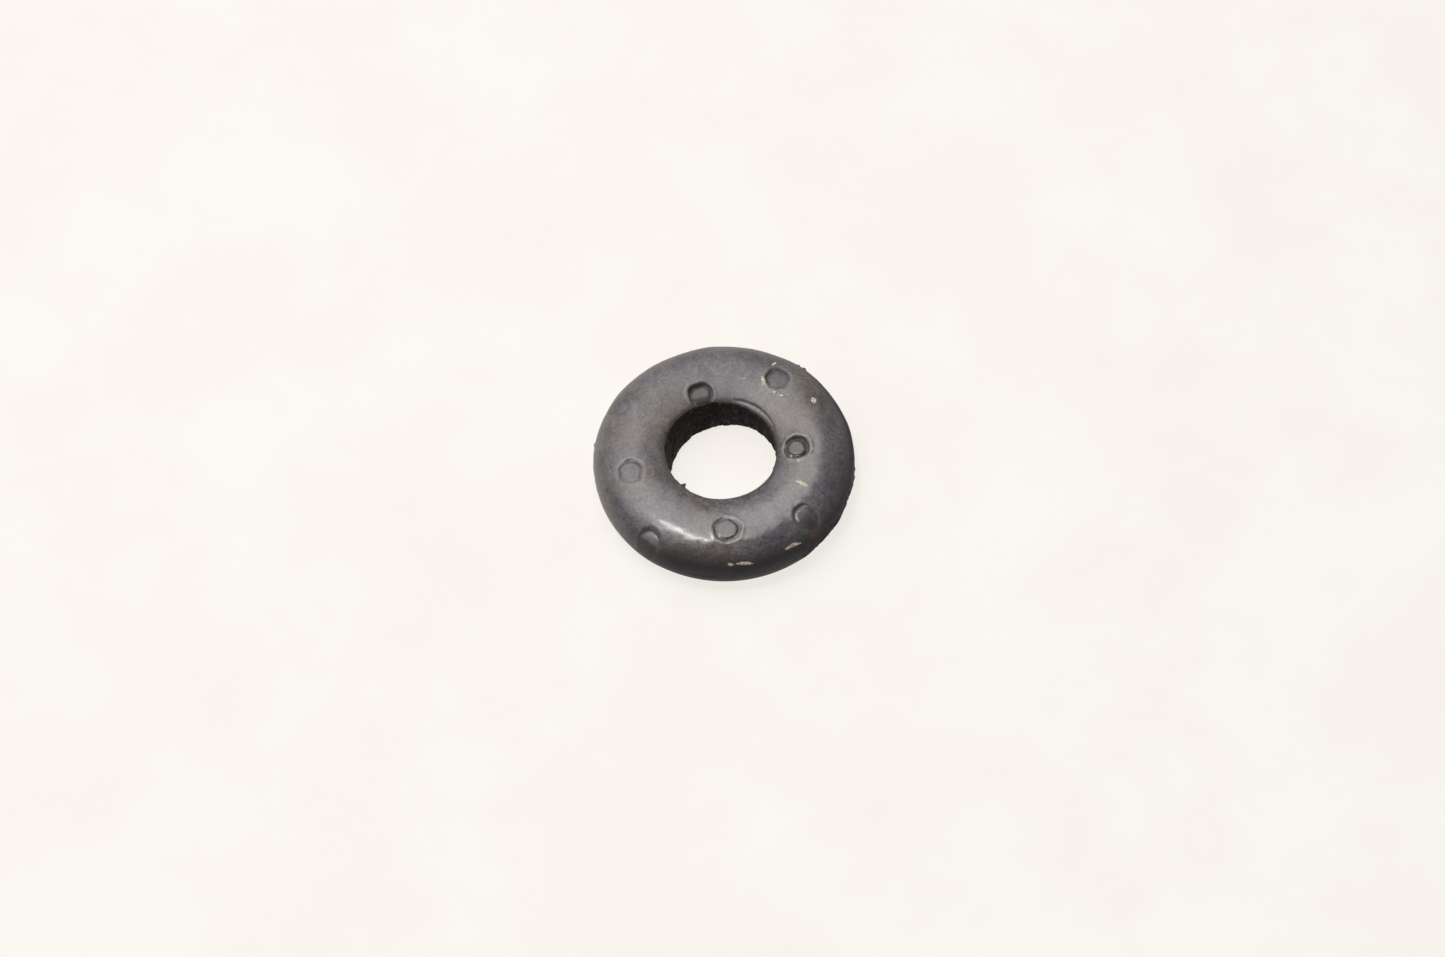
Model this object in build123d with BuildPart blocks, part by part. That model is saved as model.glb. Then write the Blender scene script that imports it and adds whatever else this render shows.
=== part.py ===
from build123d import *
import os
from math import hypot, sqrt

# A gasket: one ring of dark rubber, moulded in one piece and lying on its flat underside.
# The origin is on the bore's axis, level with the underside. +Z is up, +X is to the right
# and +Y points away from the viewer. Every size is in millimetres.

# The moulded ring, seen in section: flat below, rounded outside, domed on top
outer_diameter = 26.0
thickness = 5.5
widest_height = 2.4  # the widest line lies this far above the underside
crest_diameter = 18.4  # the circle along the top of the dome
underside_inset = 2.0  # the flat underside ends this far inside the widest line
shoulder_drop = 1.6  # the inner shoulder's fall from the crest to where it would stand upright
ring_centre = (0.40, -0.14)  # the moulded ring's centre: the bore was punched off centre

# The punched bore
bore_diameter = 10.9
punch_margin = 0.05  # rubber that the punch takes away even where it comes nearest to the shoulder's end

# The level ledge that the punch left along a quarter of the rim
ledge_drop = 0.85  # how far the ledge lies below the crest
ledge_width = 0.6  # how far the ledge reaches out past the bore where it is widest
ledge_shift = 1.65  # how far the ledge's circle lies from the bore's axis
ledge_direction = 50.0

# Round marks of the mould's pins, on a square grid whose middle pin falls in the bore
mark_diameter = 2.3
mark_depth = 0.06  # how far the mark's level face lies under the surface at the mark's centre
groove_width = 0.35
groove_depth = 0.15
grid_pitch_x = 7.9
grid_pitch_y = 7.55
grid_centre = (-0.65, -1.30)
grid_turn = 9.8
pins_each_way = 3

# The flat where the moulding web was trimmed off the rim
trim_depth = 0.35
trim_direction = -42.0

outer_radius = outer_diameter / 2
crest_radius = crest_diameter / 2
bore_radius = bore_diameter / 2
mark_radius = mark_diameter / 2
underside_radius = outer_radius - underside_inset
shoulder_radius = bore_radius - hypot(*ring_centre) - punch_margin
shoulder_height = thickness - shoulder_drop
ledge_height = thickness - ledge_drop
ledge_radius = bore_radius + ledge_width - ledge_shift

# The ring's own axis, and the upright half plane that holds its section
ring_axis = Axis(ring_centre, (0, 0, 1))
section_plane = Plane(origin=ring_centre, x_dir=(1, 0, 0), z_dir=(0, -1, 0))


def from_ring_axis(spot):
    return hypot(spot.X - ring_centre[0], spot.Y - ring_centre[1])


def surface_height(reach):
    """Height of the moulded surface at a distance from the ring's own axis."""
    if reach > crest_radius:
        share = (reach - crest_radius) / (outer_radius - crest_radius)
        return widest_height + (thickness - widest_height) * sqrt(1 - share**2)
    share = (crest_radius - reach) / (crest_radius - shoulder_radius)
    return shoulder_height + shoulder_drop * sqrt(1 - share**2)


def leaves_mark(spot):
    """A pin marks the ring only where its centre meets rubber."""
    return from_ring_axis(spot) < outer_radius and hypot(spot.X, spot.Y) > bore_radius


grid_plane = Plane(origin=grid_centre, x_dir=Vector(1, 0, 0).rotate(Axis.Z, grid_turn), z_dir=(0, 0, 1))
grid_spots = [
    grid_plane.from_local_coords(pin.position)
    for pin in GridLocations(grid_pitch_x, grid_pitch_y, pins_each_way, pins_each_way)
]
mark_spots = [spot for spot in grid_spots if leaves_mark(spot)]

ledge_centre = Vector(ledge_shift, 0, 0).rotate(Axis.Z, ledge_direction)
trim_normal = Vector(1, 0, 0).rotate(Axis.Z, trim_direction)
trim_plane = Plane(origin=Vector(*ring_centre) + trim_normal * (outer_radius - trim_depth), z_dir=trim_normal)

with BuildPart() as gasket:
    # The ring as it came out of the mould
    with BuildSketch(section_plane):
        with BuildLine():
            Line((shoulder_radius, 0), (underside_radius, 0))
            EllipticalCenterArc(
                (underside_radius, widest_height), underside_inset, widest_height, start_angle=270, arc_size=90
            )
            EllipticalCenterArc(
                (crest_radius, widest_height), outer_radius - crest_radius, thickness - widest_height, arc_size=90
            )
            EllipticalCenterArc(
                (crest_radius, shoulder_height),
                crest_radius - shoulder_radius,
                shoulder_drop,
                start_angle=90,
                arc_size=90,
            )
            Line((shoulder_radius, shoulder_height), (shoulder_radius, 0))
        make_face()
    revolve(axis=ring_axis)

    # The bore, straight through
    with Locations((0, 0, thickness)):
        Hole(bore_radius, depth=thickness)

    # The ledge beside the rim
    with BuildSketch(Plane.XY.offset(ledge_height)):
        with Locations(ledge_centre):
            Circle(ledge_radius)
    extrude(amount=thickness, mode=Mode.SUBTRACT)

    # Each pin mark: a level face, and a narrow groove round its edge
    for spot in mark_spots:
        face_height = surface_height(from_ring_axis(spot)) - mark_depth
        with BuildSketch(Plane.XY.offset(face_height)):
            with Locations(spot):
                Circle(mark_radius)
        extrude(amount=thickness, mode=Mode.SUBTRACT)
        with BuildSketch(Plane.XY.offset(face_height - groove_depth)):
            with Locations(spot):
                Circle(mark_radius)
                Circle(mark_radius - groove_width, mode=Mode.SUBTRACT)
        extrude(amount=thickness, mode=Mode.SUBTRACT)

    # The trimmed flat on the rim
    split(bisect_by=trim_plane, keep=Keep.BOTTOM)

gasket.part.label = "gasket"

os.makedirs("parts", exist_ok=True)
export_step(gasket.part, "parts/gasket.step")

rim_side = max(gasket.part.faces().filter_by(GeomType.CYLINDER), key=lambda face: face.area)
print("gasket", gasket.part.bounding_box().size, "volume", round(gasket.part.volume, 1), "mm3")
print("pin marks", len(mark_spots), "bore wall", rim_side.bounding_box().size)
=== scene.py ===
# %% [markdown]
# # A moulded rubber gasket
#
# The real object is one ring of dark rubber, 26 mm across and 5.5 mm thick. A mould pressed it to
# shape and left eight round pin marks in its domed top. Its bore was punched through afterwards, a
# little off centre and leaning to one side. This file builds that ring as one mesh in the place of
# the packed CAD solid, gives it a rubber finish made of nodes, and adds specks of dirt, a table,
# soft light and a camera.

# %% Load the frame
import math

import bpy
import numpy as np
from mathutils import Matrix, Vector
from mathutils.bvhtree import BVHTree


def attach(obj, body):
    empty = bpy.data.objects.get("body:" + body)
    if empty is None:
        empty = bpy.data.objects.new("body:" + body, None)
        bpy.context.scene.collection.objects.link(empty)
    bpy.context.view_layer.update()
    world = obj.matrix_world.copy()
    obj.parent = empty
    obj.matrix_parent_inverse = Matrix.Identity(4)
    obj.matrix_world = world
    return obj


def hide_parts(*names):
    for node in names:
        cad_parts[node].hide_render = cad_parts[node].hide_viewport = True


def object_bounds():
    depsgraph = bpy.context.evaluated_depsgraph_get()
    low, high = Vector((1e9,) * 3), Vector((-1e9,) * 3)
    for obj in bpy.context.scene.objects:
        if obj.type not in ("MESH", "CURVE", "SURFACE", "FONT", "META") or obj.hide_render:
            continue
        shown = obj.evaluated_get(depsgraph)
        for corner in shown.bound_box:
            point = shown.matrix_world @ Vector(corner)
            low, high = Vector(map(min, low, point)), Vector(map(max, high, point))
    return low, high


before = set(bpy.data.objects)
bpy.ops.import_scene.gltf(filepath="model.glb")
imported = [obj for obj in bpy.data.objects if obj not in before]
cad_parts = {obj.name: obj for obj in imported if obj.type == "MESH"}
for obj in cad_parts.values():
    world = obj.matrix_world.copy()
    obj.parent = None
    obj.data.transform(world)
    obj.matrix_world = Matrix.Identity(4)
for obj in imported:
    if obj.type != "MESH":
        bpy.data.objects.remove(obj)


def in_mm(box):
    return [[round(value * 1000, 2) for value in corner] for corner in box]


cad_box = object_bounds()
print("CAD box in mm:", in_mm(cad_box))

# %% [markdown]
# ## The section
#
# Cut through, the ring is flat below, rounded outside and domed on top, and its inner shoulder
# falls towards the bore. The whole shape could come from a revolved curve with a Screw modifier.
# A grid of points, kept in arrays, is used instead, because every later step, such as a pin mark
# or a torn edge, is then only a change to those points. The sizes are those of the CAD solid, in
# millimetres, and turn into metres once, when the mesh is made.

# %% Sizes of the ring, in millimetres
MM = 0.001
thickness = 5.5
outer_radius = 13.0
widest_height = 2.4
crest_radius = 9.2
underside_radius = 11.0
shoulder_drop = 1.6
shoulder_end = 4.976
bore_radius = 5.45
ring_centre = np.array([0.40, -0.14])


def height_at(reach):
    """Height of the moulded top at a distance from the ring's centre."""
    outward = np.clip((reach - crest_radius) / (outer_radius - crest_radius), 0, 1)
    inward = np.clip((crest_radius - reach) / (crest_radius - shoulder_end), 0, 1)
    outside = widest_height + (thickness - widest_height) * np.sqrt(1 - outward**2)
    inside = thickness - shoulder_drop * (1 - np.sqrt(1 - inward**2))
    return np.where(reach > crest_radius, outside, inside)


nearest_rim = bore_radius - np.linalg.norm(ring_centre)
print("rim height where the bore is nearest:", round(float(height_at(nearest_rim)), 2), "mm")

# %% [markdown]
# ## The punched bore
#
# The punch went in square at the rim but drifted sideways, so the foot of the bore lies six tenths
# of a millimetre to the right of its rim, and the left wall can be seen from above. At the far
# right the foot is torn wider. Two circles, one for the rim and one for the foot, with a few gentle
# departures, are enough to describe that. Each departure is a smooth hump at one angle.

# %% Rim and foot of the bore, as distances from the ring's centre
rim_shift = np.array([0.0, 0.0])
foot_shift = np.array([0.60, -0.20])
foot_radius = 5.48
# Angle, half width and height of each hump
rim_humps = [(245, 16, 0.05), (290, 22, -0.16), (335, 14, 0.10)]
foot_humps = [(62, 22, 0.34), (150, 20, -0.10)]


def bell(value, half_width):
    """1 where the value is 0, fading to 0 on both sides."""
    return np.exp(-((value / half_width) ** 2))


def hump(angle, centre, half_width):
    """1 at one angle, fading to 0 on both sides; all in degrees."""
    return bell((angle - centre + 180) % 360 - 180, half_width)


def humps(angle, sizes):
    """Several humps added up, each given as angle, half width and height."""
    return sum(height * hump(angle, centre, half_width) for centre, half_width, height in sizes)


def reach_of_circle(angle, centre, radius):
    """How far from the ring's centre a circle lies in a direction."""
    heading = np.radians(angle)
    offset = np.array(centre) - ring_centre
    along = offset[0] * np.cos(heading) + offset[1] * np.sin(heading)
    return along + np.sqrt(along**2 - offset @ offset + radius**2)


def rim_reach(angle):
    return reach_of_circle(angle, rim_shift, bore_radius) + humps(angle, rim_humps)


def foot_reach(angle):
    return reach_of_circle(angle, foot_shift, foot_radius) + humps(angle, foot_humps)


print("rim reach:", np.round(rim_reach(np.array([0, 90, 180, 270])), 2), "mm")

# %% [markdown]
# ## The grid of points
#
# The surface of a ring closes on itself in both directions, so it needs no poles and no caps:
# rows run round the ring, and in each row the columns go up the bore's wall, over the dome, down
# the flank and back along the underside. On the dome the columns are spaced evenly by length,
# which keeps the faces nearly square where the detail is.

# %% One row of the grid
wall_columns, dome_columns, flank_columns, underside_columns = 34, 98, 16, 12
columns = wall_columns + dome_columns + flank_columns + underside_columns
curve_steps = 160


def dome_curve(rim):
    """The section from the rim over the crest to the widest line, finely divided."""
    rim_angle = math.asin(min(1.0, (crest_radius - rim) / (crest_radius - shoulder_end)))
    inner = np.linspace(rim_angle, 0, curve_steps)
    outer = np.linspace(0, math.pi / 2, curve_steps)[1:]
    reach = np.concatenate([
        crest_radius - (crest_radius - shoulder_end) * np.sin(inner),
        crest_radius + (outer_radius - crest_radius) * np.sin(outer),
    ])
    height = np.concatenate([
        thickness - shoulder_drop * (1 - np.cos(inner)),
        widest_height + (thickness - widest_height) * np.cos(outer),
    ])
    return reach, height


def section_at(angle):
    """One closed row of the grid as (reach, height) points, starting at the bore's foot."""
    rim, foot = float(rim_reach(angle)), float(foot_reach(angle))
    dome_reach, dome_height = dome_curve(rim)
    length = np.concatenate([[0], np.cumsum(np.hypot(np.diff(dome_reach), np.diff(dome_height)))])
    stops = np.linspace(0, length[-1], dome_columns + 1)[:-1]
    climb = np.linspace(0, 1, wall_columns + 1)[:-1]
    fall = np.linspace(0, math.pi / 2, flank_columns + 1)[:-1]
    inward = np.linspace(0, 1, underside_columns + 1)[:-1]
    reach = np.concatenate([
        foot + (rim - foot) * climb,
        np.interp(stops, length, dome_reach),
        underside_radius + (outer_radius - underside_radius) * np.cos(fall),
        underside_radius + (foot - underside_radius) * inward,
    ])
    height = np.concatenate([
        dome_height[0] * climb,
        np.interp(stops, length, dome_height),
        widest_height * (1 - np.sin(fall)),
        np.zeros(underside_columns),
    ])
    return reach, height


print("points in a row:", columns)

# %% Lay out the grid
rows = 600
angles = np.arange(rows) * 360 / rows
sections = np.array([section_at(angle) for angle in angles])
reach, height = sections[:, 0], sections[:, 1]
heading = np.radians(angles)[:, None]
points = np.stack([
    ring_centre[0] + reach * np.cos(heading),
    ring_centre[1] + reach * np.sin(heading),
    height,
], axis=-1)
column = np.arange(columns)[None, :]
on_wall = column < wall_columns
on_dome = (column >= wall_columns) & (column < wall_columns + dome_columns)
print("grid:", rows, "rows of", columns, "points")

# %% [markdown]
# ## Helpers for shaping the grid
#
# Real rubber is never quite even. The unevenness here is a sum of waves with random directions,
# drawn from a seeded generator so that each run gives the same ring. The outward direction at each
# point comes from its four neighbours in the grid.

# %% Unevenness and fades
wave_count = 28
shortest_wave, longest_wave = 0.7, 1.5  # as shares of the length that is asked for


def waves(places, length, seed):
    """Seeded unevenness, mostly between -1 and 1, with humps of about this length."""
    draw = np.random.default_rng(seed)
    ways = draw.normal(size=(wave_count, 3))
    ways /= np.linalg.norm(ways, axis=1, keepdims=True)
    pitch = 2 * np.pi / (length * draw.uniform(shortest_wave, longest_wave, wave_count))
    start = draw.uniform(0, 2 * np.pi, wave_count)
    total = sum(np.cos(places @ (way * step) + phase) for way, step, phase in zip(ways, pitch, start))
    return total / math.sqrt(wave_count)


def uneven(places, sizes):
    """Waves of several sizes added up, each given as height, length and seed."""
    return sum(height * waves(places, length, seed) for height, length, seed in sizes)


def fade(value, zero_at, one_at):
    """Smooth step from 0 to 1."""
    share = np.clip((value - zero_at) / (one_at - zero_at), 0, 1)
    return share * share * (3 - 2 * share)


print("unevenness spread:", np.round(np.std(waves(points, 3.0, 1)), 2))

# %% Directions and moves


def outward(grid):
    """Unit vectors that point out of the rubber."""
    along = np.roll(grid, -1, axis=1) - np.roll(grid, 1, axis=1)
    around = np.roll(grid, -1, axis=0) - np.roll(grid, 1, axis=0)
    out = np.cross(along, around)
    return out / np.linalg.norm(out, axis=-1, keepdims=True)


def way_at(angle):
    """Unit vector in a direction on the table, in degrees."""
    return np.array([math.cos(math.radians(angle)), math.sin(math.radians(angle))])


def gap_from(spot):
    """How far each point of the grid lies from a spot, seen from above."""
    return np.hypot(points[..., 0] - spot[0], points[..., 1] - spot[1])


def push_out(amount):
    """Moves each point level with the table, straight away from the ring's centre."""
    points[..., 0] += amount * np.cos(heading)
    points[..., 1] += amount * np.sin(heading)


flat = gap_from(ring_centre)
angle_grid = angles[:, None] + 0 * flat
print(f"points lie {flat.min():.2f} to {flat.max():.2f} mm from the ring's centre")

# %% [markdown]
# ## The outline
#
# The moulded rim isn't a true circle. It swells and shrinks by a tenth of a millimetre, and at the
# lower right the web that joined it to the sheet was trimmed off in two flat cuts. A thin line of
# flash runs round the widest part, with a few torn nubs. Each of these moves the outer points
# straight in or out from the ring's centre, so the section keeps its form.

# %% Swell, flash and nubs of the outer rim
# Angle, half width and height of each swell
swells = [
    (0, 14, -0.12), (55, 13, 0.12), (118, 14, -0.10), (192, 10, -0.05), (233, 9, 0.05),
    (311, 6, 0.06), (340, 6, -0.06),
]
# Angle, half width and size of each nub, and its height above the table
nubs = [
    (171.5, 0.9, 0.12, 2.4), (51.5, 0.8, 0.20, 3.6), (54.5, 0.6, 0.14, 3.7), (352.0, 1.2, 0.10, 2.4),
    (356.5, 0.8, 0.08, 2.4), (326.5, 1.0, 0.10, 2.4), (337.0, 0.8, 0.08, 2.4),
]
nub_half_height = 0.3
flash_size = 0.035
flash_half_height = 0.12
full_swell_inset = 0.4


def along_rim(height, half_height):
    """1 at one height on the outer slope, fading to 0 above and below it."""
    return bell(points[..., 2] - height, half_height) * (flat > crest_radius)


swell = fade(flat, crest_radius, outer_radius - full_swell_inset) * humps(angle_grid, swells)
broken_line = 0.6 + 0.5 * waves(points, 1.1, 11)
flash = flash_size * along_rim(widest_height, flash_half_height) * broken_line
torn = sum(
    size * hump(angle_grid, centre, half_width) * along_rim(height, nub_half_height)
    for centre, half_width, size, height in nubs
)
push = swell + flash + torn
push_out(push)
print("outer rim moves by", round(float(push.min()), 2), "to", round(float(push.max()), 2), "mm")

# %% Trimmed flats at the lower right
trims = [(-42.0, 0.35), (-21.0, 0.20)]  # direction and depth of each cut
knife_stretch = [1, 1, 0.4]
whole_cut = 0.06  # where the knife took off this much, the surface is all cut rubber
trimmed = np.zeros_like(flat)
for direction, depth in trims:
    way = way_at(direction)
    knife_marks = 0.04 * waves(points * knife_stretch, 0.9, 21) + 0.03 * waves(points, 0.35, 22)
    over = np.maximum((points[..., :2] - ring_centre) @ way - (outer_radius - depth + knife_marks), 0)
    points[..., :2] -= over[..., None] * way
    trimmed = np.maximum(trimmed, fade(over, 0.0, whole_cut))
print("trimmed points:", int((trimmed > 0.5).sum()))

# %% [markdown]
# ## The moulded skin
#
# Under a soft light the dome shows faint waviness, which tells the eye that it is rubber and not
# turned metal. Long waves lift and lower the skin by a few hundredths of a millimetre along its
# outward direction, and two shorter, weaker sets give it a slightly hand-worn look. A Displace
# modifier with a cloud texture could do the same, but plain waves need no texture and keep the
# points at hand for the next steps.

# %% Waviness of the skin
skin_waves = [(0.022, 4.5, 31), (0.008, 1.6, 32), (0.003, 0.7, 33)]  # height, length and seed
rim_to_skin = 0.6
skin = on_dome * fade(flat, bore_radius, bore_radius + rim_to_skin)
ripple = uneven(points, skin_waves)
points += (skin * ripple)[..., None] * outward(points)
print("skin waviness up to", round(float(np.abs(skin * ripple).max()), 3), "mm")

# %% [markdown]
# ## Painted light and shade, smooth and dusty places
#
# The top and the far left slope of the ring are painted paler, as painted light, and the near and
# right flanks are painted nearly black, as painted shade. The near side is also smoother. Dust
# clings beside two of the marks, and there is one rusty spot at the lower right. The finish could
# ask the surface's direction for some of this, but it would then change wherever the skin is rough.
# So the grid carries one number at each point for each of these places, and the nodes read it.

# %% Painted light and shade, and smoothness
painted_light_from, painted_light_full = 0.45, 0.96  # upward part of the outward direction
far_left_heading, far_heading = 140, 105
upward = fade(outward(points)[..., 2], painted_light_from, painted_light_full)
far_left = fade(np.cos(heading - math.radians(far_left_heading)), -0.35, 0.45)
# Painted light and shade: 1 on the upward faces and the far left slope, which keep the paler skin as painted
# light, and 0 on the other flanks, which are painted nearly black as shade.
bloomed = 1 - (1 - upward) * (1 - far_left)
near_side = 0.5 - 0.5 * np.cos(heading - math.radians(far_heading)) + 0 * flat
print("share of the ring with bloom:", round(float(bloomed.mean()), 2))

# %% Places where dust and rust cling
# Place, radius and strength of each patch
dust_places = [
    ((4.5, 6.8), 0.75, 0.85), ((6.1, 5.9), 0.70, 0.85), ((7.4, 7.6), 0.8, 0.5),
    ((9.0, -0.5), 0.5, 0.6), ((6.3, -0.9), 0.6, 0.5),
]
rust_places = [((8.95, -9.15), 0.24, 0.9)]


def patches(places):
    """Soft round patches on the dome."""
    total = np.zeros_like(flat)
    for place, radius, strength in places:
        total = np.maximum(total, strength * bell(gap_from(place), radius))
    return total * on_dome


dusty, rusty = patches(dust_places), patches(rust_places)
print("dust and rust patches:", len(dust_places), len(rust_places))

# %% [markdown]
# ## The pin marks
#
# Each mark is the print of a flat-ended mould pin: a level face cut into the slope, a narrow
# groove round it where the pin stood proud, and a low collar of rubber that crept up the pin. On
# the steep flank the level face leaves a high wall on its uphill side. The pins stood a little
# askew, so most grooves are deepest at their upper left. Cutting the marks with boolean solids
# would leave hard edges, so they are worked into the heights of the grid, with soft fades for the
# wear. Strong and faint marks differ only in their numbers.

# %% Sizes of the marks
# Place, radius, depth of the face, depth of the groove, height of the collar, share of the slope
# that is left, and how far the groove fades away from its upper left side
marks = [
    ((-1.94, 6.11), 1.18, 0.09, 0.26, 0.04, 0.2, 0.30),
    ((5.79, 7.78), 1.26, 0.04, 0.21, 0.025, 0.3, 0.80),
    ((7.51, -0.05), 1.24, 0.08, 0.26, 0.055, 0.2, 0.10),
    ((0.66, -9.33), 1.34, 0.02, 0.13, 0.035, 0.3, 0.20),
    ((8.25, -7.73), 1.25, 0.02, 0.12, 0.02, 0.6, 0.65),
    ((-7.03, -9.98), 1.15, 0.04, 0.12, 0.02, 0.52, 0.7),
    ((-8.82, -2.84), 1.36, 0.02, 0.11, 0.015, 0.45, 0.60),
    ((-10.12, 4.89), 1.15, 0.01, 0.05, 0.01, 0.8, 0.6),
]
upper_left, upper_left_half = 130, 85
face_outside, face_inside = 0.04, 0.10  # the face's edge fades between these, about its radius
groove_inset, collar_outset = 0.18, 0.20
collar_half = 0.22
deepest_groove, highest_collar = 0.27, 0.055
print("marks:", len(marks))

# %% Work the marks into the dome
groove, face, collar = (np.zeros_like(flat) for _ in range(3))
for number, mark in enumerate(marks):
    place, mark_radius, face_depth, groove_depth, collar_height, slope_left, leaning = mark
    away = gap_from(place) + 0.06 * waves(points, 1.3, 41 + number)
    patchy = 0.8 + 0.3 * waves(points, 1.0, 61 + number)

    level = float(height_at(np.linalg.norm(place - ring_centre))) - face_depth
    face_height = level + slope_left * (points[..., 2] - level)
    inside = on_dome * fade(away, mark_radius + face_outside, mark_radius - face_inside)
    cut = inside * np.maximum(points[..., 2] - face_height, 0)

    direction = np.degrees(np.arctan2(points[..., 1] - place[1], points[..., 0] - place[0]))
    kept = 1 - leaning * (1 - hump(direction, upper_left, upper_left_half))
    groove_half = 0.13 + 0.28 * groove_depth  # a deep groove is also a wide one
    ring_of_groove = on_dome * kept * bell(away - mark_radius + groove_inset, groove_half)
    ring_of_collar = on_dome * bell(away - mark_radius - collar_outset, collar_half)

    points[..., 2] += ring_of_collar * collar_height * patchy - cut - ring_of_groove * groove_depth * patchy
    strength = groove_depth / deepest_groove
    groove = np.maximum(groove, ring_of_groove * strength)
    face = np.maximum(face, inside * (0.35 + 0.65 * strength))
    collar = np.maximum(collar, ring_of_collar * collar_height / highest_collar)
    print(f"mark {number + 1}: face at {level:.2f} mm, deepest cut {cut.max():.2f} mm")

# %% [markdown]
# ## The ledge and the torn wall
#
# Beside the rim at the far right the punch left a level ledge: a dark crease outside and a pale
# rounded lip inside. The wall itself is rough, dragged in the direction of the punch, and its foot
# is ragged. The ledge is one more change of height. The roughness moves the wall along its outward
# direction, by waves of three sizes that are stretched upright to look dragged.

# %% Ledge beside the rim
ledge_height = 4.72
ledge_radius = 4.4
ledge_centre = 1.65 * way_at(50)
ledge_angle, ledge_half = 48, 38
step_outside, step_inside = 0.06, 0.14  # the step fades between these, about the ledge's radius
crease_half = 0.07
crease_depth = 0.03

from_ledge = gap_from(ledge_centre) - ledge_radius
ledge_sector = hump(angle_grid, ledge_angle, ledge_half)
on_ledge = on_dome * fade(from_ledge, step_outside, -step_inside) * fade(ledge_sector, 0.2, 0.7)
drop = on_ledge * np.maximum(points[..., 2] - ledge_height, 0)
crease = on_dome * bell(from_ledge, crease_half) * fade(ledge_sector, 0.25, 0.8)
points[..., 2] -= drop + crease_depth * crease
print("ledge drops by up to", round(float(drop.max()), 2), "mm")

# %% Rough wall and ragged foot
wall_waves = [(0.055, 1.3, 71), (0.045, 0.55, 72), (0.03, 0.26, 73)]  # height, length and seed
drag_stretch = [1, 1, 0.45]
foot_zone = 0.5
calm_at_foot = 0.7
foot_width = 1.6

below_rim = points[:, wall_columns, None, 2] - points[..., 2]
punched = on_wall * fade(below_rim, -0.05, 0.35)
near_foot = np.exp(-points[..., 2] / foot_zone) * (flat < underside_radius - 1)
tear = uneven(points * drag_stretch, wall_waves) * (1 - calm_at_foot * near_foot)
points += (punched * tear)[..., None] * outward(points)

ragged = 0.05 * waves(points, 1.4, 81)
ragged += 0.06 * fade(waves(points, 0.5, 82), 0.5, 1.6)
ragged += 0.02 * waves(points, 0.3, 83)
push_out(near_foot * fade(flat, bore_radius + foot_width, bore_radius) * ragged)
print("wall roughness up to", round(float(np.abs(punched * tear).max()), 2), "mm")

# %% Tooth of flash on the rim
tooth_angle, tooth_half = 224.0, 1.7
tooth_length = 0.62
tooth_columns = 3.0
tooth = tooth_length * hump(angle_grid, tooth_angle, tooth_half) * bell(column - wall_columns, tooth_columns)
push_out(-tooth)
print("tooth points:", int((tooth > 0.1).sum()))

# %% [markdown]
# ## Soft edges and the finished mesh
#
# The punch left the rim crisp, but rubber never holds a razor edge. A few passes of averaging
# along each row, only near the rim and the foot, round those two edges by about a tenth of a
# millimetre. The rim's left side is worn rounder still, so it gets more passes. Then the dome is
# lowered a little, to leave room for the specks on it, and the points are kept inside the CAD
# solid's box, so that the visual model is no bigger than the part. The grid becomes one
# closed mesh.

# %% Round the edges and keep to the box
worn_left, worn_half = 172, 50
speck_room = 0.10
room_over_waves = 0.04


def soften(grid, middle, half_width, passes, share=1.0):
    """Averages the points of some columns with their neighbours in the same row."""
    from_middle = (column - middle + columns / 2) % columns - columns / 2
    weight = share * bell(from_middle, half_width)[..., None]
    for _ in range(passes):
        mean = (np.roll(grid, -1, axis=1) + np.roll(grid, 1, axis=1)) / 2
        grid = grid + 0.5 * weight * (mean - grid)
    return grid


points = soften(points, wall_columns, 3.0, 4)
points = soften(points, wall_columns, 7.0, 24, hump(angles, worn_left, worn_half)[:, None, None])
points = soften(points, 0, 1.5, 1)
lowest, highest = np.array(cad_box) / MM
points[..., 2] *= 1 - speck_room / thickness
points = np.clip(points, lowest, highest - [0, 0, room_over_waves])
print("mesh box in mm:", np.round(points.min(axis=(0, 1)), 2), np.round(points.max(axis=(0, 1)), 2))

# %% Make the mesh


def make_piece(name, corners_in_mm, faces):
    """A smooth-shaded mesh object at the origin, with its corners given in millimetres."""
    mesh = bpy.data.meshes.new(name)
    mesh.from_pydata((np.array(corners_in_mm) * MM).tolist(), [], faces)
    mesh.validate()
    mesh.polygons.foreach_set("use_smooth", np.ones(len(mesh.polygons), dtype=bool))
    piece = bpy.data.objects.new(name, mesh)
    bpy.context.scene.collection.objects.link(piece)
    return piece


here = np.arange(rows * columns).reshape(rows, columns)
next_column = np.roll(here, -1, axis=1)
next_row = np.roll(here, -1, axis=0)
across = np.roll(next_column, -1, axis=0)
quads = np.stack([here, next_column, across, next_row], axis=-1).reshape(-1, 4).tolist()
ring = make_piece("rubber_ring", points.reshape(-1, 3), quads)

# The crease beside the ledge gets the grooves' painted shade, at this strength.
crease_shade = 0.6
masks = {
    "groove": np.maximum(groove, crease * crease_shade),
    "face": face,
    "collar": collar,
    "punched": punched,
    "trimmed": trimmed,
    "bloomed": bloomed,
    "near_side": near_side,
    "dusty": dusty,
    "rusty": rusty,
}
for name, values in masks.items():
    layer = ring.data.attributes.new(name, "FLOAT", "POINT")
    layer.data.foreach_set("value", np.broadcast_to(values, (rows, columns)).astype(np.float32).ravel())
print("ring:", len(ring.data.vertices), "points,", 2 * len(ring.data.polygons), "triangles")

# %% [markdown]
# ## A small kit for materials
#
# A rubber finish is a sum of many weak effects, and sums are easiest to read as sums. `Signal`
# wraps one output of a node, so that `1 - mask * 0.5` adds the Math nodes by itself. `Finish`
# holds one material and adds any other node with `node`: its type, then its settings, then the
# values or links of its sockets. Colours are mixed by Mix nodes, because a Math node would turn
# them grey.

# %% Signals


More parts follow.
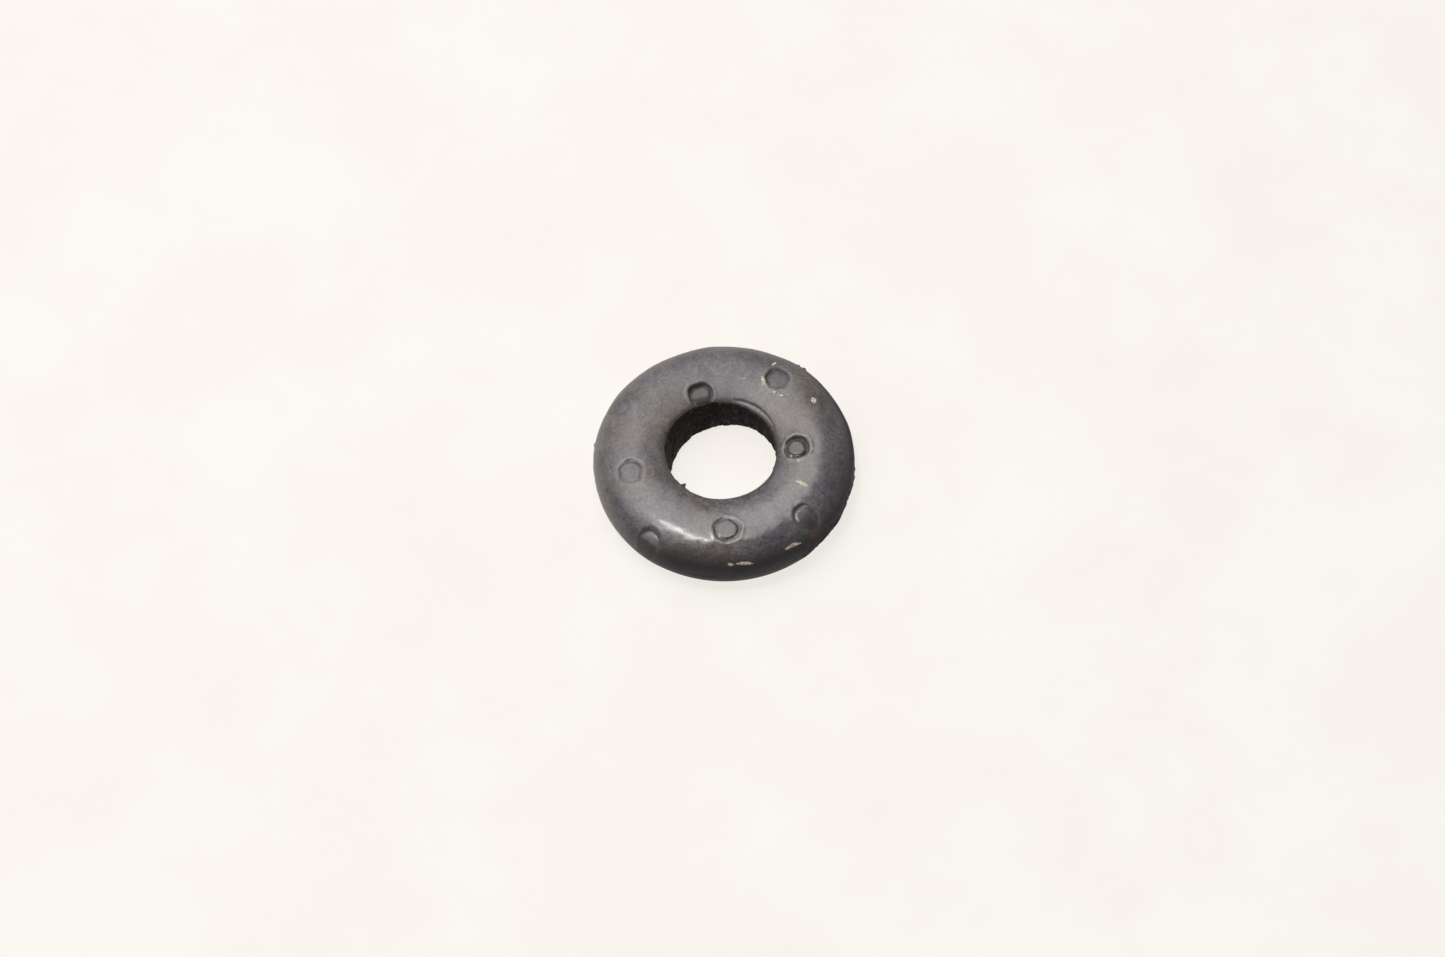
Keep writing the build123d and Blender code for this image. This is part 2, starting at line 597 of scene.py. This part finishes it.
class Signal:
    """One output of a node, used like a number in a sum or a product."""

    def __init__(self, finish, socket):
        self.finish = finish
        self.socket = socket

    def math(self, operation, first, second):
        return self.finish.node("ShaderNodeMath", {"operation": operation}, {0: first, 1: second})

    def __add__(self, other):
        return self.math("ADD", self, other)

    def __radd__(self, other):
        return self.math("ADD", other, self)

    def __sub__(self, other):
        return self.math("SUBTRACT", self, other)

    def __rsub__(self, other):
        return self.math("SUBTRACT", other, self)

    def __mul__(self, other):
        return self.math("MULTIPLY", self, other)

    def __rmul__(self, other):
        return self.math("MULTIPLY", other, self)


print("signals can be added, subtracted and multiplied")

# %% Finishes


class Finish:
    """A material and the nodes that make its surface."""

    def __init__(self, name):
        self.material = bpy.data.materials.new(name)
        self.material.use_nodes = True
        self.tree = self.material.node_tree
        self.surface = self.tree.nodes["Principled BSDF"]

    def put(self, socket, value):
        if isinstance(value, Signal):
            self.tree.links.new(value.socket, socket)
        else:
            socket.default_value = value

    def node(self, kind, settings=None, values=None, output=0):
        made = self.tree.nodes.new(kind)
        for name, value in (settings or {}).items():
            setattr(made, name, value)
        for name, value in (values or {}).items():
            self.put(made.inputs[name], value)
        return Signal(self, made.outputs[output])

    def set(self, **values):
        for name, value in values.items():
            self.put(self.surface.inputs[name.replace("_", " ")], value)

    def places(self):
        """Where a point lies on the piece, in millimetres."""
        spot = self.node("ShaderNodeTexCoord", output="Object")
        return self.node("ShaderNodeVectorMath", {"operation": "SCALE"}, {0: spot, "Scale": 1 / MM})

    def noise(self, places, per_mm, detail=3.0, roughness=0.55):
        values = {"Vector": places, "Scale": per_mm, "Detail": detail, "Roughness": roughness}
        return self.node("ShaderNodeTexNoise", None, values)

    def step(self, value, zero_at, one_at):
        """Smooth step from 0 to 1."""
        values = {"Value": value, "From Min": zero_at, "From Max": one_at}
        return self.node("ShaderNodeMapRange", {"interpolation_type": "SMOOTHSTEP"}, values)

    def attribute(self, name):
        """One of the numbers that the mesh carries at each point."""
        return self.node("ShaderNodeAttribute", {"attribute_name": name}, output="Fac")

    def blend(self, share, first, second, how="MIX"):
        """First where the share is 0, second (or their product) where it is 1."""
        settings = {"data_type": "RGBA", "blend_type": how}
        return self.node("ShaderNodeMix", settings, {0: share, 6: first, 7: second}, output=2)

    def bump(self, height, distance, strength, under=None):
        """Normals of a relief this many millimetres high, on top of another relief if one is given."""
        values = {"Height": height, "Distance": distance * MM, "Strength": strength}
        if under is not None:
            values["Normal"] = under
        return self.node("ShaderNodeBump", None, values, output="Normal")


print("finishes can hold:", [name for name in vars(Finish) if not name.startswith("_")])

# %% [markdown]
# ## The rubber
#
# The ring is dark grey and satin. On the top and the far left slope it is cloudy and mid grey, with
# patches of bloom, a fine grit and a tint that drifts between warm and cool. These paler places are
# painted light, and the nearly black of the other flanks is painted shade. The grooves and the
# crease are painted darker and browner as painted shade, and the pin faces are darker too, while
# the collars are painted paler in patches, as a painted highlight. The punched wall is nearly
# black with brown flecks, rough and matt.
# Separate materials would meet in a hard line, so one material mixes all of these by the masks
# that the grid carries.

# %% Colours of the rubber
# The flanks' nearly black is painted shade.
flank_painted_shade = (0.0095, 0.0080, 0.0115, 1)
skin_grey = (0.087, 0.081, 0.081, 1)
bloom_grey = (0.125, 0.117, 0.115, 1)
warm_tint = (1.06, 1.00, 0.95, 1)
cool_tint = (0.94, 0.98, 1.08, 1)
dark_grit = (0.70, 0.69, 0.70, 1)
pale_grit = (1.30, 1.30, 1.28, 1)
rust_brown = (0.128, 0.035, 0.019, 1)
# A dark brown: painted shade in the grooves and the crease, and a darker colour for the pin faces and the
# trimmed flats.
shade_and_cut_brown = (0.023, 0.020, 0.019, 1)
# A pale grey: real dust in the dusty patches, and a painted highlight on the collars.
dust_and_highlight_grey = (0.215, 0.203, 0.180, 1)
punched_black = (0.004, 0.003, 0.0025, 1)
punched_brown = (0.098, 0.070, 0.046, 1)

rubber = Finish("moulded_rubber")
spot = rubber.places()
cloud = rubber.noise(spot, 0.28, 4.0)
patch = rubber.noise(spot, 1.1, 3.0)
grit = rubber.noise(spot, 4.0, 3.0, 0.7)
in_groove = rubber.attribute("groove")
in_face = rubber.attribute("face")
on_collar = rubber.attribute("collar")
on_punched = rubber.attribute("punched")
on_trimmed = rubber.attribute("trimmed")
in_painted_light = rubber.attribute("bloomed")
on_near_side = rubber.attribute("near_side")

bloom = rubber.step(cloud * 0.65 + patch * 0.35, 0.38, 0.66)
tint = rubber.blend(rubber.step(rubber.noise(spot, 0.17, 2.0), 0.40, 0.60), warm_tint, cool_tint)
gritty = rubber.blend(rubber.step(grit, 0.35, 0.65), dark_grit, pale_grit)
colour = rubber.blend(bloom, skin_grey, bloom_grey)
colour = rubber.blend(1.0, colour, tint, "MULTIPLY")
colour = rubber.blend(1.0, colour, gritty, "MULTIPLY")
# Painted light and shade: the flanks are painted nearly black, except the top and the far left slope.
colour = rubber.blend(in_painted_light, flank_painted_shade, colour)
colour = rubber.blend(in_face * 0.5, colour, shade_and_cut_brown)
# Painted highlight: the collars are painted paler in patches, where they catch the light.
colour = rubber.blend(on_collar * rubber.step(patch, 0.35, 0.6) * 0.45, colour, dust_and_highlight_grey)
colour = rubber.blend(rubber.attribute("dusty") * rubber.step(grit, 0.42, 0.60), colour, dust_and_highlight_grey)
colour = rubber.blend(rubber.attribute("rusty"), colour, rust_brown)
# Painted shade: the grooves and the crease beside the rim are painted dark brown.
colour = rubber.blend(in_groove * 0.85, colour, shade_and_cut_brown)
flecks = rubber.step(rubber.noise(spot, 1.6, 3.0), 0.54, 0.76)
colour = rubber.blend(on_punched, colour, rubber.blend(flecks, punched_black, punched_brown))
colour = rubber.blend(on_trimmed * 0.5, colour, shade_and_cut_brown)
print("colours mixed with", len(rubber.tree.nodes), "nodes")

# %% Gloss and relief of the rubber
grain_height, grain_strength = 0.004, 0.5
tear_height, tear_strength = 0.12, 0.9

rough = 0.40 - 0.25 * on_near_side + 0.4 * (1 - in_painted_light)
rough = rough + 0.05 * bloom + 0.05 * patch + 0.08 * grit
rough = rough + 0.2 * in_groove + 0.06 * in_face + 0.45 * on_punched + 0.2 * on_trimmed
grain = rubber.bump(rubber.noise(spot, 9.0, 2.0), grain_height, grain_strength)
tears = rubber.bump(rubber.noise(spot, 4.5, 4.0) * on_punched, tear_height, tear_strength, grain)
rubber.set(Base_Color=colour, Roughness=rough, Normal=tears, IOR=1.55)
ring.data.materials.append(rubber.material)
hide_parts("gasket")
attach(ring, "root")
print("finish:", len(rubber.tree.nodes), "nodes")

# %% [markdown]
# ## Specks of dirt
#
# A few pale specks cling to the ring: dried flakes near the marks, and longer ones pressed on the
# near flank. They are real bodies, only a few hundredths of a millimetre thick, so each one is a
# small flake of its own that is dropped on the finished surface. A ray is cast at the ring for
# each point, and the point is set on the spot that it hits, a little deeper at the flake's edge
# than in its middle.

# %% Seat a flake on the ring
surface = BVHTree.FromPolygons([tuple(point) for point in points.reshape(-1, 3)], quads)
flake_rings = 6
flake_spokes = 28
drop_height = 3.0
edge_sink = 0.008
lobe, raggedness, most_bend = 0.16, 0.12, 0.12  # as shares of the flake's size


def seat(place, out, start):
    """The spot on the ring below a point, looking against the outward direction."""
    hit = surface.ray_cast(start + out * drop_height, -out, 2 * drop_height)
    return hit[0] if hit[0] is not None else place


def flake(place, length, width, turn, lift, seed):
    """Corners and faces of one thin flake; turn is its direction seen from above, in degrees."""
    draw = np.random.default_rng(seed)
    above = Vector((*place, thickness + drop_height))
    hit, out, _, _ = surface.ray_cast(above, Vector((0, 0, -1)))
    flat_way = Vector((*way_at(turn), 0))
    way = (flat_way - out * flat_way.dot(out)).normalized()
    side = out.cross(way)
    lean = np.linspace(0, 2 * np.pi, flake_spokes, False)
    edge = 1 + lobe * np.cos(2 * lean + draw.uniform(0, 6))
    edge *= 1 + raggedness * draw.normal(size=flake_spokes)
    bend = draw.uniform(-most_bend, most_bend) * length
    corners = []
    for level in range(flake_rings + 1):
        share = level / flake_rings
        for spoke in range(flake_spokes if level else 1):
            along = math.cos(lean[spoke]) * share * edge[spoke] * length / 2
            aside = math.sin(lean[spoke]) * share * edge[spoke] * width / 2
            aside += bend * (2 * along / length) ** 2
            base = seat(hit, out, hit + way * along + side * aside)
            corner = base + out * (lift * math.sqrt(1 - share**2) - edge_sink * share)
            corner.z = min(corner.z, highest[2])
            corners.append(corner)
    faces = [(0, 1 + k, 1 + (k + 1) % flake_spokes) for k in range(flake_spokes)]
    for level in range(1, flake_rings):
        inner, outer = 1 + (level - 1) * flake_spokes, 1 + level * flake_spokes
        for k in range(flake_spokes):
            n = (k + 1) % flake_spokes
            faces.append((inner + k, outer + k, outer + n, inner + n))
    return corners, faces


print("one flake:", 1 + flake_rings * flake_spokes, "corners")

# %% Place the specks
# Place, length, width, direction in degrees and lift of each speck
specks = [
    ((4.30, 7.42), 1.00, 0.46, 92, 0.07),
    ((5.36, 9.60), 0.70, 0.34, 60, 0.04),
    ((5.35, 6.15), 0.36, 0.22, 20, 0.025),
    ((6.10, 5.78), 0.34, 0.24, -15, 0.025),
    ((9.24, 5.23), 0.66, 0.60, 20, 0.05),
    ((2.36, 7.72), 0.34, 0.32, 0, 0.035),
    ((7.96, -4.26), 1.60, 0.36, -33, 0.03),
    ((7.70, -1.62), 0.40, 0.34, 0, 0.03),
    ((6.95, -0.85), 0.30, 0.26, 40, 0.025),
    ((6.98, -10.48), 1.70, 0.40, 24, 0.03),
    ((2.32, -12.38), 1.60, 0.42, 3, 0.03),
    ((0.98, -12.50), 0.60, 0.34, 0, 0.025),
]
all_corners, all_faces = [], []
for number, speck in enumerate(specks):
    corners, faces = flake(*speck, 101 + number)
    shift = len(all_corners)
    all_corners += [tuple(corner) for corner in corners]
    all_faces += [tuple(index + shift for index in face_corners) for face_corners in faces]
dirt_flakes = make_piece("pale_specks", all_corners, all_faces)

# %% Finish of the specks
cream = (0.65, 0.58, 0.44, 1)
dull = (0.22, 0.19, 0.157, 1)

dirt = Finish("dried_dirt")
crumbs = dirt.noise(dirt.places(), 7.0, 3.0)
colour = dirt.blend(dirt.step(crumbs, 0.35, 0.65), dull, cream)
dirt.set(Base_Color=colour, Roughness=0.75 + 0.15 * crumbs, Normal=dirt.bump(crumbs, 0.01, 0.6))
dirt_flakes.data.materials.append(dirt.material)
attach(dirt_flakes, "root")
print("specks:", len(specks), "with", len(all_faces), "faces")

# %% [markdown]
# ## The table
#
# The ring lies on a plain white painted board. One large plane is enough. Its paint has a slight
# warm tint and mottling and a satin sheen. The board should look pale without more light on the
# ring, so most of what the camera and the ring's reflections see of it is a glow of the paint's
# own colour. The rest is lit by the lamps and keeps the ring's shadow. The floor is part of the
# stage, not of the object.

# %% Floor
floor_half = 2.0
floor_drop = 0.02 * MM  # keeps the board and the ring's underside apart
table_glow = 1.018
shadow_hidden = 0.86
warm_white = (0.905, 0.865, 0.815, 1)
clear_white = (0.925, 0.895, 0.850, 1)

floor_corners = [(x * floor_half, y * floor_half, 0) for x, y in ((-1, -1), (1, -1), (1, 1), (-1, 1))]
floor_mesh = bpy.data.meshes.new("table")
floor_mesh.from_pydata(floor_corners, [], [(0, 1, 2, 3)])
floor = bpy.data.objects.new("table", floor_mesh)
floor.location.z = -floor_drop
bpy.context.scene.collection.objects.link(floor)

paint = Finish("table_paint")
spot = paint.places()
mottle = paint.noise(spot, 0.05, 5.0, 0.6)
colour = paint.blend(paint.step(mottle, 0.35, 0.65), warm_white, clear_white)
orange_peel = paint.bump(paint.noise(spot, 1.2, 3.0), 0.01, 0.3)
paint.set(Base_Color=colour, Roughness=0.55 + 0.05 * mottle, Normal=orange_peel)
to_eye = paint.node("ShaderNodeLightPath", output="Is Camera Ray")
for kind in ("Is Glossy Ray", "Is Transmission Ray"):
    to_eye = to_eye + paint.node("ShaderNodeLightPath", output=kind)
glow = paint.node("ShaderNodeEmission", None, {"Color": colour, "Strength": table_glow})
lit = Signal(paint, paint.surface.outputs[0])
shown = paint.node("ShaderNodeMixShader", None, {0: to_eye * shadow_hidden, 1: lit, 2: glow})
paint.put(paint.tree.nodes["Material Output"].inputs["Surface"], shown)
floor_mesh.materials.append(paint.material)
print("table:", floor_half * 2, "m wide")

# %% [markdown]
# ## Light
#
# Rubber shows its form mostly by what it reflects, and on the real ring that is a bright room:
# a window and pale walls behind and to the left, and the ceiling. Eight round lamps stand for
# them. The wide ones give the far and left slopes their soft grey, the near flank faces none and
# stays dark, and the small bright one almost overhead draws the streak along the near crest. One
# large softbox was the simpler choice, but it gave either the grey or the streak, never both.
# A lamp is given by where it stands, how large it looks from the ring and how bright its face is,
# because those three alone decide what the rubber reflects. A dim even world fills the rest.

# %% Sizes and colours of the lamps
daylight, wall_light, left_light = (1.0, 0.985, 0.96), (1.0, 0.98, 0.955), (1.0, 0.985, 0.965)
ceiling_light, ceiling_left_light, overhead_light = (1.0, 0.97, 0.95), (1.0, 0.985, 0.97), (1.0, 0.985, 0.98)
# Name, elevation, azimuth and half angle as seen from the ring, in degrees, radiance and colour
lamps = [
    ("window", 56, 96, 13, 3.0, daylight),
    ("wall_behind", 44, 112, 22, 1.29, wall_light),
    ("ceiling_behind", 78, 110, 17, 2.8, ceiling_light),
    ("ceiling_above", 85, 90, 12, 2.05, ceiling_light),
    ("wall_left", 54, 160, 17, 2.5, left_light),
    ("wall_far_left", 30, 150, 20, 0.69, left_light),
    ("ceiling_left", 62, 198, 16, 2.06, ceiling_left_light),
    ("small_overhead", 77, 174, 3.6, 68.0, overhead_light),
]
print("lamps:", [lamp[0] for lamp in lamps])

# %% Hang the lamps and dim the room
lamp_distance = 0.6
room_strength = 0.02


def round_lamp(name, elevation, azimuth, half_angle, radiance, colour):
    """A disk lamp aimed at the ring."""
    rise = math.radians(elevation)
    way = Vector((*(math.cos(rise) * way_at(azimuth)), math.sin(rise)))
    lamp = bpy.data.lights.new(name, "AREA")
    lamp.shape = "DISK"
    lamp.size = 2 * lamp_distance * math.tan(math.radians(half_angle))
    lamp.energy = radiance * math.pi * math.pi * lamp.size**2 / 4
    lamp.color = colour
    holder = bpy.data.objects.new(name, lamp)
    holder.location = way * lamp_distance
    holder.rotation_mode = "QUATERNION"
    holder.rotation_quaternion = (-way).to_track_quat("-Z", "Y")
    bpy.context.scene.collection.objects.link(holder)


light_level = room_strength
for lamp in lamps:
    round_lamp(*lamp)
    _, elevation, _, half_angle, radiance, _ = lamp
    light_level += radiance * math.sin(math.radians(half_angle)) ** 2 * math.sin(math.radians(elevation))
world = bpy.data.worlds.new("room")
bpy.context.scene.world = world
world.use_nodes = True
background = world.node_tree.nodes["Background"]
background.inputs["Color"].default_value = (1.0, 0.97, 0.94, 1)
background.inputs["Strength"].default_value = room_strength
print("light on a level surface, where 1 shows a colour as it is written:", round(light_level, 2))

# %% [markdown]
# ## Camera
#
# The photo was taken from about 61 degrees above the table, straight in front of the ring, with a
# narrow lens. The camera's target lies a little beside the bore's axis, which puts the ring where it
# is in the frame.

# %% Camera
camera_elevation = math.radians(60.65)
camera_distance = 0.3251
field_of_view = math.radians(25)
aim_right, aim_up = 0.206 * MM, -0.603 * MM

camera_data = bpy.data.cameras.new("camera")
camera_data.sensor_width = 36
camera_data.lens = camera_data.sensor_width / 2 / math.tan(field_of_view / 2)
camera_data.clip_start = 0.01
camera = bpy.data.objects.new("camera", camera_data)
bpy.context.scene.collection.objects.link(camera)
back = Vector((0, -math.cos(camera_elevation), math.sin(camera_elevation)))
up = Vector((0, math.sin(camera_elevation), math.cos(camera_elevation)))
target = Vector((1, 0, 0)) * aim_right + up * aim_up
camera.location = target + back * camera_distance
camera.rotation_mode = "QUATERNION"
camera.rotation_quaternion = (-back).to_track_quat("-Z", "Y")
bpy.context.scene.camera = camera
bpy.context.scene.view_settings.view_transform = "Standard"
print("lens:", round(camera_data.lens, 1), "mm")

# %% [markdown]
# The visual model has to stay in the CAD solid's box.
